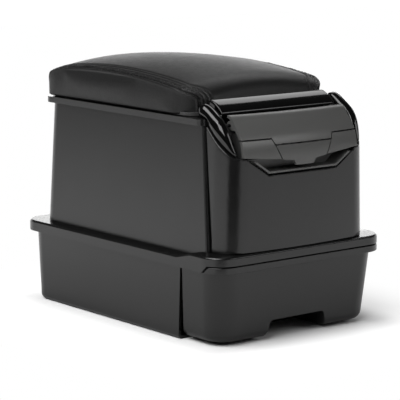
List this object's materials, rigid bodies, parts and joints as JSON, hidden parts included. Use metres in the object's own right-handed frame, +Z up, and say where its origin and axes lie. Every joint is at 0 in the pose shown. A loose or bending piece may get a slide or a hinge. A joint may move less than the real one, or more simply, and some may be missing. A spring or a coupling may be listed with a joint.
{
  "type": "car centre armrest",
  "caption": "Car centre armrest storage box with a hinged padded leather lid, a gloss front bezel with a hinged pocket flap and latch, and a pull-out cup drawer in the base.",
  "frame": {"origin": "bottom centre of the overall box, on the floor under the middle of the flange", "axes": "+X across the width, +Y along the length away from the flap and drawer front, +Z up"},
  "size_m": [0.2, 0.3, 0.2416],
  "materials": {
    "textured_plastic": "fine grained moulded black",
    "inner_plastic": "plain moulded black",
    "satin_plastic": "semi-gloss black",
    "gloss_plastic": "high-gloss piano black",
    "leather": "grained black with stitched seams",
    "steel": "plain"
  },
  "bodies": {
    "housing": {"base_tub": "textured_plastic", "skirt_deck": "textured_plastic", "main_housing": "textured_plastic", "front_fascia": "textured_plastic", "gloss_bezel": "gloss_plastic", "finger_recess": "inner_plastic", "trim_panel_left": "satin_plastic", "trim_panel_right": "satin_plastic", "front_pocket": "inner_plastic", "latch_spring": "steel", "latch_pin": "steel", "flap_pins": "steel", "lid_hinge_pins": "steel", "drawer_runner_left": "inner_plastic", "drawer_runner_right": "inner_plastic", "housing_screws": "steel", "fascia_screws": "steel", "tub_screws": "steel", "pocket_screws": "steel"},
    "lid": {"lid_pan": "inner_plastic", "lid_cushion": "leather", "lid_screws": "steel"},
    "flap": {"flap_panel": "satin_plastic"},
    "paddle": {"latch_paddle": "satin_plastic"},
    "drawer": {"drawer_tray": "textured_plastic", "cup_holder_insert": "inner_plastic"}
  },
  "joints": [
    {"name": "lid_hinge", "type": "hinge", "parent": "housing", "child": "lid", "pos_m": [0, 0.1356, 0.199], "axis": [-1, 0, 0], "range_deg": [0, 90]},
    {"name": "flap_hinge", "type": "hinge", "parent": "housing", "child": "flap", "pos_m": [0, -0.125, 0.192], "axis": [-1, 0, 0], "range_deg": [0, 80]},
    {"name": "latch_pivot", "type": "hinge", "parent": "housing", "child": "paddle", "pos_m": [0, -0.1424, 0.1725], "axis": [-1, 0, 0], "range_deg": [0, 12], "stiffness_Nm_per_rad": 0.02},
    {"name": "drawer_slide", "type": "slide", "parent": "housing", "child": "drawer", "axis": [0, -1, 0], "range_m": [0, 0.11]}
  ]
}
